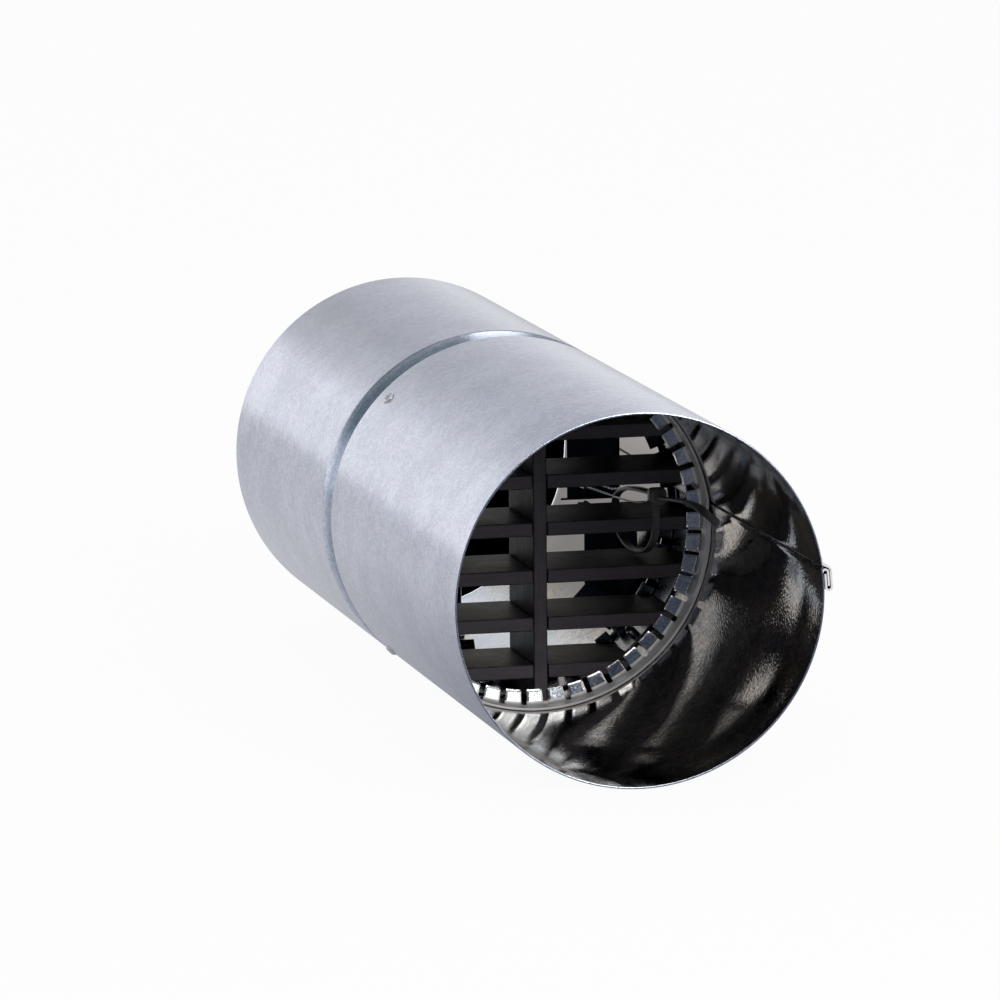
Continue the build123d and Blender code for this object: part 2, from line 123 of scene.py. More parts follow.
# a flat line given a thickness: its two sides, in order
def thicken(line, thickness):
    left, right = [], []
    for i, point in enumerate(line):
        before = line[max(i - 1, 0)]
        after = line[min(i + 1, len(line) - 1)]
        way = (after - before).normalized()
        side = Vector((-way.y, way.x)) * thickness / 2
        left.append(point + side)
        right.append(point - side)
    return left, right


# Sleeve: one rolled sheet with a groove, drawn finer than the solid

sleeveValues = {
    "outerR": 79.95, "inset": 0.05, "wall": 1.0, "length": 445.0, "sharpAbove": 30,
    "mouthPlay": 0.1, "mouthLength": 25.0, "mouthCone": 2.0, "rimBreak": 0.22, "rimRound": 0.3,
    "grooveStart": 240.0, "grooveRise": 2.4, "grooveFlat": 6.0, "grooveRunOut": 9.6,
    "grooveDepth": 3.0, "grooveSoftness": 1.1, "grooveMargin": 2, "grooveStep": 0.5,
    "frontStations": (0.6, 4, 12, 25, 27, 40, 60, 80, 100, 120, 140, 160, 180, 200, 220, 232),
    "rearStations": (266, 280, 300, 320, 340, 360, 380, 400, 418, 420, 434, 441, 444.4),
    "seamAngle": 4.0, "seamTop": 5.0, "seamStep": 0.75, "seamStepReach": 22,
    "seamStepInside": 0.35, "seamDip": 0.12, "seamDipReach": 14,
    # the crease on the inside: offset from the seam's top and depth
    "seamMark": ((-1.6, 0.0), (-0.9, -0.10), (-0.45, -0.12), (-0.2, 0.15), (0.0, 0.80),
                 (0.75, 0.84), (0.95, 0.05), (1.6, 0.0)),
    # where the mesh is finer, in mm from the seam
    "seamOffsets": (-6.4, -5.8, -5.5, -5.2, -4.4, -2, 0, 2, 3.3, 4.1, 4.55, 4.8, 5.0, 5.4,
                    5.75, 5.95, 6.6, 8),
    "seamClear": 0.8,
}


# how deep the groove is at a place along the duct, with its bends softened
def grooveAt(y, v=sleeveValues):
    whole = v["grooveRise"] + v["grooveFlat"] + v["grooveRunOut"]

    def raw(at):
        rise, runOut = at / v["grooveRise"], (whole - at) / v["grooveRunOut"]
        return v["grooveDepth"] * max(0.0, min(1.0, rise, runOut))

    spread = [raw(y - v["grooveStart"] + v["grooveSoftness"] * i / 4) for i in range(-4, 5)]
    return sum(spread) / len(spread)


def makeSleeve(v):
    outerR, length = v["outerR"], v["length"]
    grooveSpan = v["grooveRise"] + v["grooveFlat"] + v["grooveRunOut"] + 2 * v["grooveMargin"]
    fine = [v["grooveStart"] - v["grooveMargin"] + v["grooveStep"] * i
            for i in range(round(grooveSpan / v["grooveStep"]) + 1)]
    stations = [*v["frontStations"], *fine, *v["rearStations"]]

    def innerR(y):
        fromEnd = min(y, length - y)
        cone = min(max((v["mouthLength"] + v["mouthCone"] - fromEnd) / v["mouthCone"], 0), 1)
        return outerR - v["wall"] - grooveAt(y) + v["mouthPlay"] * cone

    edge, soft = v["rimBreak"], v["rimBreak"] * v["rimRound"]
    outside = [(outerR - edge, 0.0), (outerR - soft, soft), (outerR, edge)]
    outside += [(outerR - grooveAt(y), y) for y in stations]
    outside += [(outerR, length - edge), (outerR - soft, length - soft), (outerR - edge, length)]
    mouth = innerR(0)
    inside = [(mouth + edge, length), (mouth + soft, length - soft), (mouth, length - edge)]
    inside += [(innerR(y), y) for y in reversed(stations)]
    inside += [(mouth, edge), (mouth + soft, soft), (mouth + edge, 0.0)]

    # angles: even all round, and closer together at the seam
    seamTop = v["seamAngle"] + math.degrees(v["seamTop"] / outerR)
    close = [v["seamAngle"] + math.degrees(offset / outerR) for offset in v["seamOffsets"]]
    clear = v["seamClear"]
    angles = [(a + 180) % 360 - 180 for a in range(360)]
    angles = sorted([a for a in angles if not close[0] - clear < a < close[-1] + clear] + close)

    # the sheet that comes down from above stands a little prouder than the one below the seam
    def seamShift(angle):
        above = angle - seamTop
        if above < 0:
            return -v["seamDip"] * max(0.0, 1 - abs(above) / v["seamDipReach"])
        return v["seamStep"] * max(0.0, 1 - above / v["seamStepReach"]) ** 2

    # the crease along the inside, where the fold begins, beside the lower sheet's rounded edge
    def seamCrease(angle):
        off = math.radians(angle - seamTop) * outerR
        for (at, low), (after, high) in zip(v["seamMark"], v["seamMark"][1:]):
            if at <= off <= after:
                return low + (high - low) * (off - at) / (after - at)
        return 0.0

    rings = []
    for angle in angles:
        shift, crease = seamShift(angle), seamCrease(angle)
        ring = [onDuct(min(radius + min(shift, 0.0), outerR), y, angle) for radius, y in outside]
        for radius, y in inside:
            moved = radius + shift * v["seamStepInside"] + (crease if 0 < y < length else 0.0)
            ring.append(onDuct(min(moved, outerR), y, angle))
        rings.append(ring)
    sleeve = addPiece("sleeve_skin", *skinRings(rings, closeAlong=True), v["sharpAbove"])
    around = len(outside) + len(inside)
    for polygon in sleeve.data.polygons:  # the second finish lies between the two rims, inside
        station = polygon.index % around
        polygon.material_index = 1 if len(outside) + 2 <= station < around - 3 else 0
    return sleeve


# Folded seam: the hook of the upper sheet closes over the hook of the lower one

seamValues = {
    # U runs outwards from the skin; a corner is its place up along the skin and its U
    "sheet": 0.85, "outerU": 3.12, "hookU": 1.9, "returnU": 0.66, "half": 5.2, "insideU": 0.5,
    "length": 445.0, "endGap": 0.02, "stations": 24, "wander": 0.05, "seed": 4, "turns": 8,
    "sharpAbove": 40,
    "root": ((9.0, -0.52), (7.4, -0.42), (6.3, 0.0), (5.7, 1.2), (5.0, 2.55)), "rootTop": 3.9,
    "upperTop": (1.0, -1.5), "upperReturn": (-1.0, 2.2), "lowerBend": 3.0, "lowerTop": (0.5, -2.9),
}


def makeSeam(v):
    halfTurn = [math.pi * i / v["turns"] for i in range(v["turns"] + 1)]
    turnR = (v["outerU"] - v["returnU"]) / 2
    turnU = (v["outerU"] + v["returnU"]) / 2
    turnV = -(v["half"] - turnR - v["sheet"] / 2)
    upperHook = smoothLine([*v["root"], (v["rootTop"], v["outerU"])], 2)
    upperHook += [(at, v["outerU"]) for at in v["upperTop"]]
    upperHook += [(turnV - turnR * math.sin(turn), turnU + turnR * math.cos(turn)) for turn in halfTurn]
    upperHook += [(at, v["returnU"]) for at in v["upperReturn"]]
    innerR = (v["hookU"] + v["insideU"]) / 2
    lowerHook = [(v["lowerBend"] + innerR * math.sin(turn), v["hookU"] - innerR - innerR * math.cos(turn))
                 for turn in halfTurn]
    lowerHook += [(at, v["hookU"]) for at in v["lowerTop"]]

    wander = random.Random(v["seed"])
    turn = math.radians(sleeveValues["seamAngle"])
    outward = Vector((math.cos(turn), 0, math.sin(turn)))
    upward = Vector((-math.sin(turn), 0, math.cos(turn)))
    ys = [v["length"] * i / v["stations"] for i in range(v["stations"] + 1)]
    ys[0] += v["endGap"]
    ys[-1] -= v["endGap"]
    parts = []
    for hook in (upperHook, lowerHook):
        left, right = thicken([Vector(p) for p in hook], v["sheet"])
        outline = left + right[::-1]
        rings = []
        for y in ys:
            slip = wander.uniform(-1, 1) * v["wander"]
            rings.append([(outward * (sleeveValues["outerR"] + p.y) + upward * (p.x + slip)
                           + Vector((0, y, 0))) * mm for p in outline])
        points, faces = skinRings(rings)
        count = len(outline)
        last = len(points) - count
        for i in range(len(left) - 1):  # both ends are closed strip by strip
            j = count - 1 - i
            faces.append((i, j, j - 1, i + 1))
            faces.append((last + i, last + i + 1, last + j - 1, last + j))
        parts.append((points, faces))
    return addPiece("sleeve_seam", *wrapPieces(parts), v["sharpAbove"])


# Clamp rings: an L strip with slit teeth; the front one laps over itself beside the seam

ringValues = {
    "wallGap": 0.3, "sheet": 1.0, "bendR": 1.5, "bendSteps": 5, "toothTipR": 71.5, "tipSteps": 4,
    "legStep": 1.2, "slot": 2.6, "slotIntoLeg": 2.0, "slotMargin": 1.6, "slotRound": 0.85,
    "edge": 0.14, "edgeAngle": 50, "toothLean": 2.6, "leanReach": 6, "toothTrim": 0.22,
    "steps": 6, "slotSteps": 4, "lapHeight": 1.04, "lapSlope": 4.0,
    "front": {"backY": 191.5, "leg": 12.5, "from": -25.0, "to": 364.0, "teeth": 52, "lapTo": 8.0,
              "seed": 11, "tipBack": 1.0},
    "rear": {"backY": 238.5, "leg": 24.0, "from": 5.5, "to": 362.5, "teeth": 48, "lapTo": -999.0,
             "seed": 12, "tipBack": 0.0},
}


def makeRing(which, v):
    own = v[which]
    random.seed(own["seed"])
    sleeveR = sleeveValues["outerR"] + sleeveValues["inset"]  # the skin is drawn just inside the solid's
    midR = sleeveR - sleeveValues["wall"] - v["wallGap"] - v["sheet"] / 2
    midY = own["backY"] - v["sheet"] / 2
    slotY = own["backY"] - v["sheet"] - v["slotIntoLeg"]
    legY = own["backY"] - own["leg"]
    bentR = midR - v["bendR"]
    reachR = bentR - v["toothTipR"]
    rows = [(midR, legY), (midR, legY + v["legStep"]), (midR, (legY + slotY) / 2),
            (midR, slotY - v["slotMargin"])]
    slotRow = len(rows)
    rows.append((midR, slotY))
    for i in range(v["bendSteps"] + 1):
        turn = math.pi / 2 * i / v["bendSteps"]
        rows.append((midR - v["bendR"] * (1 - math.cos(turn)), midY - v["bendR"] * (1 - math.sin(turn))))
    bendEnd = slotRow + v["bendSteps"] + 1
    rows += [(bentR - reachR * i / v["tipSteps"], midY) for i in range(1, v["tipSteps"] + 1)]
    pitch = (own["to"] - own["from"]) / own["teeth"]
    half = v["slot"] / 2
    points, faces, index = [], [], {}

    def place(row, angle, across, lean=0.0, trim=0.0, dip=0.0):
        radius, y = rows[row]
        if row > slotRow:  # the tooth leans back towards its tip
            y -= own["tipBack"] * min(1.0, (radius - v["toothTipR"]) / reachR)
        if row > bendEnd:
            reach = (bentR - radius) / reachR
            y -= lean * reach
            radius += trim * reach
        y -= dip
        at = angle + math.degrees(across / radius)
        if at < own["lapTo"]:
            lift = v["lapHeight"] * v["sheet"] * min(1.0, max(0.0, (own["lapTo"] - at) / v["lapSlope"]))
            radius -= lift
            y -= lift if row > slotRow else 0.0
        return onDuct(radius, y, at)

    def vertex(key, point):
        if key not in index:
            index[key] = len(points)
            points.append(point)
        return index[key]

    def quads(grid):
        for low, high in zip(grid, grid[1:]):
            for i in range(len(low) - 1):
                faces.append((low[i], low[i + 1], high[i + 1], high[i]))

    for tooth in range(own["teeth"]):
        centre = own["from"] + (tooth + 0.5) * pitch
        slotCentre = own["from"] + (tooth + 1) * pitch
        lean = math.radians(random.uniform(-1, 1) * v["toothLean"]) * v["leanReach"]
        trim = random.uniform(-1, 1) * v["toothTrim"]
        grid = []
        for row in range(len(rows)):
            width = rows[row][0] * math.radians(pitch) / 2 - half
            line = []
            for i in range(v["steps"] + 1):
                key = (row, tooth, i)
                if row > slotRow:
                    key = (row, tooth, i, "t")
                elif i == v["steps"]:  # the leg's corners are shared with the strips under the slots
                    key = (row, tooth, "s", 0)
                elif i == 0 and tooth:
                    key = (row, tooth - 1, "s", v["slotSteps"])
                across = width * (2 * i / v["steps"] - 1)
                line.append(vertex(key, place(row, centre, across, lean, trim)))
            grid.append(line)
        quads(grid)
        if tooth == own["teeth"] - 1:
            continue
        grid = []
        for row in range(slotRow + 1):
            line = []
            for i in range(v["slotSteps"] + 1):
                across = half * (2 * i / v["slotSteps"] - 1)
                arch = math.sqrt(max(half ** 2 - across ** 2, 0))
                dip = arch * v["slotRound"] if row == slotRow else 0.0
                line.append(vertex((row, tooth, "s", i), place(row, slotCentre, across, dip=dip)))
            grid.append(line)
        quads(grid)
    ring = addPiece("ring_" + which, points, faces, v["edgeAngle"])
    solid = ring.modifiers.new("sheet", "SOLIDIFY")
    solid.thickness = v["sheet"] * mm
    solid.offset = 0
    edge = ring.modifiers.new("edges", "BEVEL")
    edge.width = v["edge"] * mm
    edge.segments = 2
    edge.limit_method = "ANGLE"
    edge.angle_limit = math.radians(v["edgeAngle"])
    return ring


# Rivets: a domed head outside, a hollow shank and a set bulb inside

rivetValues = {
    "y": 224.0, "angles": (45, 135, 225, 315), "seat": 79.98, "segments": 40, "sharpAbove": 42,
    "head": ((0.87, 0.95), (1.05, 1.2), (1.4, 1.28), (1.9, 1.16), (2.4, 0.86), (2.8, 0.5),
             (3.05, 0.2), (3.1, 0.0)),
    "shank": ((1.6, 0.0), (1.6, -2.38)),
    "bulb": ((2.05, -2.42), (2.2, -2.7), (2.2, -4.6), (2.0, -5.2), (1.5, -5.55), (0.87, -5.6)),
}


def makeRivets(v):
    parts = []
    across = Vector((0, 1, 0))
    circle = [2 * math.pi * i / v["segments"] for i in range(v["segments"])]
    for angle in v["angles"]:
        outward = onDuct(1 / mm, 0, angle)
        third = outward.cross(across)
        centre = outward * v["seat"] + across * v["y"]
        rings = [[(centre + outward * height + across * radius * math.cos(at)
                   + third * radius * math.sin(at)) * mm for at in circle]
                 for radius, height in v["head"] + v["shank"] + v["bulb"]]
        parts.append(skinRings(rings, closeAlong=True))
    return addPiece("rivets", *wrapPieces(parts), v["sharpAbove"])


# Cable tie: a strap round the middle right slat, its head in front and a long twisted tail

tieValues = {
    "middleX": 56.5, "turn": 6.0, "frontY": 190.4, "width": 3.6, "thickness": 1.2, "round": 0.28,
    "loop": ((190.4, 11.6), (190.3, 5), (190.3, -0.5), (191.5, -5.5), (196.5, -10.8), (204.7, -14.6),
             (214, -15.9), (223.9, -15.2), (232, -12.8), (238.5, -8.7), (241.6, -3.6), (242.0, 1.2),
             (241.0, 5.2), (236, 8.3), (228.5, 10.5), (218.4, 11.9), (206.5, 12.8), (198.1, 13.2),
             (192.5, 13.1)),
    "step": 0.5, "rib": 0.16, "ribFrom": 4, "ribHalf": 0.55,
    "head": ((191.0, 5.6, 5.8), (190.7, 7.2, 7.2), (190.1, 7.9, 7.7), (188.0, 8.0, 7.7),
             (186.2, 7.9, 7.5), (185.4, 7.2, 6.7), (185.05, 5.8, 5.2)),
    "headZ": 13.0, "headTaper": 0.34, "headTaperFrom": 0.3, "headSquare": 4.2,
    "boss": ((185.2, 2.3), (184.5, 2.2), (184.2, 1.9), (184.15, 1.2)), "bossSquare": 2.3,
    # the tail: offset in X, Y, Z and twist in degrees
    "tail": ((0.0, 186.0, 13.0, 4), (0.3, 176, 13.7, 0), (0.9, 160, 15.6, -2), (1.7, 144, 17.2, 0),
             (2.3, 132, 17.6, 10), (2.7, 120, 17.0, 34), (3.1, 108, 15.9, 58), (3.4, 97.6, 14.4, 64)),
    "segments": 40, "sharpAbove": 40,
}


def makeTie(v):
    turn = math.radians(v["turn"])
    along = Vector((-math.sin(turn), math.cos(turn), 0))
    across = Vector((math.cos(turn), math.sin(turn), 0))
    start = Vector((v["middleX"], v["frontY"], 0)) - along * v["frontY"]
    half, soft, thick = v["width"] / 2, v["round"], v["thickness"] / 2
    outline = ((-half + soft, -thick), (half - soft, -thick), (half, -thick + soft), (half, thick - soft),
               (half - soft, thick), (half * v["ribHalf"], thick), (-half * v["ribHalf"], thick),
               (-half + soft, thick), (-half, thick - soft), (-half, -thick + soft))

    def strap(line, sides):
        rings = []
        for i, spot in enumerate(line):
            way = (line[min(i + 1, len(line) - 1)] - line[max(i - 1, 0)]).normalized()
            side = sides(i / (len(line) - 1))
            normal = way.cross(side).normalized()
            bite = v["rib"] if i % 2 and v["ribFrom"] < i < len(line) - v["ribFrom"] else 0.0
            rings.append([(spot + side * a + normal * (b - (bite if k in (5, 6) else 0.0))) * mm
                          for k, (a, b) in enumerate(outline)])
        return capped(rings)

    loop = smoothLine([(0, y, z) for y, z in v["loop"]], 3)
    loop = evenly([start + along * p.y + Vector((0, 0, p.z)) for p in loop], v["step"])
    tail = smoothLine([(v["middleX"] + x, y, z) for x, y, z, _ in v["tail"]], 2)
    tail = evenly(tail, v["step"] * 2)
    twists = [twist for _, _, _, twist in v["tail"]]

    def tailSide(share):
        at = share * (len(twists) - 1)
        low = min(int(at), len(twists) - 2)
        part = at - low
        part = part * part * (3 - 2 * part)
        twist = math.radians(twists[low] * (1 - part) + twists[low + 1] * part)
        return Vector((math.cos(twist), 0, math.sin(twist)))

    def roundedBox(stations, power, taper=0.0):
        rings = []
        for y, width, height in stations:
            ring = []
            for i in range(v["segments"]):
                at = 2 * math.pi * i / v["segments"]
                c, s = math.cos(at), math.sin(at)
                narrow = 1 - taper * max(0.0, (-s - v["headTaperFrom"]) / (1 - v["headTaperFrom"]))
                x = math.copysign(abs(c) ** (2 / power), c) * width / 2 * narrow
                z = math.copysign(abs(s) ** (2 / power), s) * height / 2
                ring.append(Vector((v["middleX"] + x, y, v["headZ"] + z)) * mm)
            rings.append(ring)
        return capped(rings)

    boss = [(y, 2 * radius, 2 * radius) for y, radius in v["boss"]]
    parts = [strap(loop, lambda share: across), strap(tail, tailSide),
             roundedBox(v["head"], v["headSquare"], v["headTaper"]), roundedBox(boss, v["bossSquare"])]
    return addPiece("tie", *wrapPieces(parts), v["sharpAbove"])


# Release wire: two thin wires laid together, in a taut loop from the tie through both flaps

wireValues = {
    "strandR": 0.27, "lay": 5.5, "nest": 0.9, "step": 0.7, "sides": 7, "splitY": 275.0,
    "slackKeep": 0.42, "sharpAbove": 60,
    "low": ((49.9, 241.0, 5.4), (46.0, 255.0, 6.0), (5.6, 392.6, 11.95), (4.6, 394.0, 12.0),
            (-4.6, 394.0, 12.0), (-5.6, 394.6, 12.3), (-5.7, 394.4, 15.0)),
    "high": ((-5.6, 394.6, 17.7), (-4.6, 394.0, 18.0), (4.6, 394.0, 18.0), (5.6, 392.6, 17.95),
             (48.0, 248.0, 8.6), (50.4, 240.0, 8.2)),
    "eye": ((54.0, 229.0, 11.6), (58.0, 214.0, 12.6), (59.8, 203.0, 12.2), (59.3, 197.0, 10.9),
            (56.8, 193.9, 10.2), (54.2, 194.8, 9.5), (52.6, 201.0, 8.2), (51.0, 220.0, 6.4),
            (49.9, 241.0, 5.4)),
}


def makeWire(v):
    line = evenly(smoothLine(v["low"] + v["high"] + v["eye"], 3), v["step"])
    circle = [2 * math.pi * k / v["sides"] for k in range(v["sides"])]
    parts = {"front": [], "rear": []}
    for phase in (0, math.pi):
        rings, travelled, normal = [], 0.0, Vector((0, 0, 1))
        for i, spot in enumerate(line):
            before, after = line[max(i - 1, 0)], line[min(i + 1, len(line) - 1)]
            way = (after - before).normalized()
            normal = (normal - way * normal.dot(way)).normalized()
            side = way.cross(normal)
            travelled += (spot - before).length
            at = phase + 2 * math.pi * travelled / v["lay"]
            centre = spot + (normal * math.cos(at) + side * math.sin(at)) * v["strandR"] * v["nest"]
            ring = [(centre + (normal * math.cos(a) + side * math.sin(a)) * v["strandR"]) * mm for a in circle]
            rings.append((centre.y, ring))
        run, where = [], None
        for y, ring in rings:  # the two parts share the ring where they meet
            now = "rear" if y > v["splitY"] else "front"
            run.append(ring)
            if where and now != where:
                parts[where].append(capped(run))
                run = [ring]
            where = now
        if len(run) > 1:
            parts[where].append(capped(run))
    return [addPiece("wire_" + name, *wrapPieces(part), v["sharpAbove"]) for name, part in parts.items()]


sleeve = makeSleeve(sleeveValues)
seam = makeSeam(seamValues)
tie = makeTie(tieValues)
wireFront, wireRear = makeWire(wireValues)
frontRing = makeRing("front", ringValues)
rearRing = makeRing("rear", ringValues)
rivets = makeRivets(rivetValues)
for piece, node, slotName in (
    (sleeve, "sleeve", "galvanised_sleeve"),
    (seam, "sleeve", "galvanised_sleeve"),
    (frontRing, "front_clamp_ring", "ring_sheet"),
    (rearRing, "rear_clamp_ring", "ring_sheet"),
    (rivets, "blind_rivets", "rivet_metal"),
    (tie, "cable_tie", "nylon"),
    (wireFront, "release_wire", "wire_steel"),
    (wireRear, "release_wire", "wire_steel"),
):
    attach(piece, "housing")
    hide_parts(node)
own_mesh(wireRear)  # the rear part of the wire gets a mesh of its own
print("sleeve, rings, rivets, tie and wire drawn")


# Shading: sockets as values, and one method for every node

class Value:
    def __init__(self, shading, socket):
        self.shading = shading
        self.socket = socket

    def join(self, operation, first, second=0.0):
        return self.shading.add("ShaderNodeMath", {"operation": operation}, {0: first, 1: second})

    def __add__(self, other):
        return self.join("ADD", self, other)

    def __radd__(self, other):
        return self.join("ADD", other, self)

    def __sub__(self, other):
        return self.join("SUBTRACT", self, other)

    def __rsub__(self, other):
        return self.join("SUBTRACT", other, self)

    def __mul__(self, other):
        return self.join("MULTIPLY", self, other)

    def __rmul__(self, other):
        return self.join("MULTIPLY", other, self)

    def __pow__(self, other):
        return self.join("POWER", self, other)

    def __rpow__(self, other):
        return self.join("POWER", other, self)

    def __abs__(self):
        return self.join("ABSOLUTE", self)


class Shading:
    def __init__(self, tree):
        self.tree = tree
        tree.nodes.clear()

    def put(self, socket, value):
        if isinstance(value, Value):
            self.tree.links.new(value.socket, socket)
        elif socket.type == "RGBA" and len(value) == 3:
            socket.default_value = (*value, 1.0)
        else:
            socket.default_value = value

    def add(self, kind, settings=None, inputs=None, output=0):
        node = self.tree.nodes.new(kind)
        for name, value in (settings or {}).items():
            if name == "stops":
                elements = node.color_ramp.elements
                for i, (position, colour) in enumerate(value):
                    element = elements[i] if i < 2 else elements.new(position)
                    element.position = position
                    element.color = (*colour, 1.0)
            else:
                setattr(node, name, value)
        for name, value in (inputs or {}).items():
            self.put(node.inputs[name], value)
        return Value(self, node.outputs[output]) if node.outputs else node

    # the object's own coordinates, stretched or turned where a pattern needs it
    def place(self, stretch=(1, 1, 1), turn=(0, 0, 0)):
        spot = self.add("ShaderNodeTexCoord", output="Object")
        if stretch == (1, 1, 1) and turn == (0, 0, 0):
            return spot
        return self.add("ShaderNodeMapping", inputs={"Vector": spot, "Scale": stretch, "Rotation": turn})

    def axis(self, letter, spot=None):
        return self.add("ShaderNodeSeparateXYZ", inputs={0: spot or self.place()}, output=letter)

    def noise(self, scale, detail=3.0, rough=0.55, spot=None):
        return self.add("ShaderNodeTexNoise", inputs={
            "Vector": spot or self.place(), "Scale": scale, "Detail": detail, "Roughness": rough})

    def cells(self, scale, spot=None):
        colour = self.add("ShaderNodeTexVoronoi", inputs={"Vector": spot or self.place(), "Scale": scale},
                          output="Color")
        return self.add("ShaderNodeSeparateColor", inputs={0: colour})

    def span(self, value, low, high, toLow=0.0, toHigh=1.0):
        return self.add("ShaderNodeMapRange", {"interpolation_type": "SMOOTHSTEP"}, {
            "Value": value, "From Min": low, "From Max": high, "To Min": toLow, "To Max": toHigh})

    def blend(self, factor, first, second, kind="MIX"):
        return self.add("ShaderNodeMix", {"data_type": "RGBA", "blend_type": kind},
                        {0: factor, 6: first, 7: second}, 2)

    def ray(self, kind):
        return self.add("ShaderNodeLightPath", output="Is " + kind + " Ray")


class Finish(Shading):
    def __init__(self, name):
        self.material = bpy.data.materials.new(name)
        self.material.use_nodes = True
        super().__init__(self.material.node_tree)

    def bump(self, height, strength, distance):
        return self.add("ShaderNodeBump", inputs={
            "Height": height, "Strength": strength, "Distance": distance})

    def surface(self, **sockets):
        named = {name.replace("_", " "): value for name, value in sockets.items()}
        return self.close(self.add("ShaderNodeBsdfPrincipled", inputs=named))

    def close(self, shader):
        self.add("ShaderNodeOutputMaterial", inputs={0: shader})
        return self.material


# Galvanised sheet: faint zinc grains, a fine frost, and dull marks along the rolling.
# Its optional parts are read by place on the damper, in metres.

zincValues = {
    "galvanised_outer": {
        "light": (0.76, 0.785, 0.89), "dark": (0.52, 0.55, 0.65), "rough": 0.20, "grain": 0.16,
        "frosting": 0.10, "spangle": 420, "marks": 0.30, "seed": 1,
        # painted shade: the top darker, the more so towards the outlet, and painted shade in the groove, which
        # is darker and teal
        "outside": {"paintedTopShade": 0.36, "topZ": (0.047, 0.060), "crownZ": (0.070, 0.079), "crownLess": 0.55,
                    "alongY": (0.0, 0.44), "paintedGrooveShadeR": (0.0782, 0.0796), "groove": (0.62, 0.70, 0.74)},
    },
    "galvanised_seam": {
        "light": (0.76, 0.785, 0.89), "dark": (0.52, 0.55, 0.65), "rough": 0.22, "grain": 0.16,
        "frosting": 0.10, "spangle": 420, "marks": 0.30, "seed": 1,
        # the cut end of the fold
        "cut": {"endY": (0.0004, 0.0012), "dull": 0.7, "rougher": 0.3, "tone": (0.80, 0.81, 0.84)},
    },
    # the inside: a much darker copy of the sheet's zinc, painted shade
    "galvanised_inner_painted_shading": {
        "light": (0.45, 0.40, 0.355), "dark": (0.07, 0.085, 0.12), "rough": 0.065, "grain": 0.08,
        "frosting": 0.24, "spangle": 420, "marks": 0.10, "seed": 2,
        # painted light: paler and duller behind the core, except beside the slats' right ends, which get
        # painted shade
        "behind": {"rough": 0.36, "light": (0.78, 0.88, 1.0), "dark": (0.62, 0.70, 0.84),
                   "shade": (0.10, 0.105, 0.12), "clearX": (0.030, 0.052), "roughY": (0.18, 0.27),
                   "paintedLightY": (0.19, 0.25), "paintedShadeY": (0.19, 0.21), "paintedShadeX": (0.045, 0.060)},
    },
    "ring_zinc": {
        "light": (0.56, 0.58, 0.61), "dark": (0.32, 0.34, 0.37), "rough": 0.19, "grain": 0.14,
        "frosting": 0.16, "spangle": 380, "marks": 0.50, "seed": 3,
        # the ring's leg on the wall, duller than its teeth
        "leg": {"legR": (0.0762, 0.0770), "dull": 0.80, "rougher": 0.28, "light": (0.92, 0.94, 0.98),
                "dark": (0.78, 0.80, 0.84)},
    },
    # the rear ring: a much darker copy of the ring's zinc, painted shade behind the core
    "ring_zinc_rear_painted_shade": {
        "light": (0.26, 0.27, 0.29), "dark": (0.13, 0.14, 0.16), "rough": 0.26, "grain": 0.16,
        "frosting": 0.16, "spangle": 380, "marks": 0.50, "seed": 6,
    },
    # the stop brackets: near-black zinc with a dark edge tint, painted shade
    "stop_zinc_painted_shade": {
        "light": (0.070, 0.075, 0.088), "dark": (0.040, 0.044, 0.052), "rough": 0.38, "grain": 0.16,
        "frosting": 0.12, "spangle": 260, "marks": 0.30, "seed": 4, "edge": (0.10, 0.10, 0.12),
    },
    "flap_zinc": {
        "light": (0.60, 0.62, 0.66), "dark": (0.44, 0.46, 0.50), "rough": 0.24, "grain": 0.20,
        "frosting": 0.12, "spangle": 260, "marks": 0.35, "seed": 5,
    },
}


# what all of them share; a noise is given as its scale, detail and roughness
zincPattern = {
    "grainStretch": (1.0, 0.72, 1.0), "grainTurn": (0.2, 0.1, 0.3), "grainShare": 0.06,
    "frost": (1250, 2, 0.6), "frostShare": 0.42, "worm": (560, 2, 0.6), "wormShare": 0.24,
    "cloud": (34, 4, 0.6), "cloudShare": 0.28, "contrast": (0.41, 0.59), "cloudRough": 0.5,
    "tint": (55, 2, 0.5), "tinted": (0.35, 0.65), "tintBy": 0.6, "tintColour": (0.96, 1.01, 1.02),
    "scuff": (1.0, 2, 0.5), "scuffStretch": (700, 90, 420), "scuffTurn": (0.5, 0.8, 0.3),
    "scuffed": (0.72, 0.78), "scuffDarker": 0.8, "facet": (820, 0.0, 0.55), "facetDepth": 0.0001,
    "legClouds": (0.4, 0.6),
}


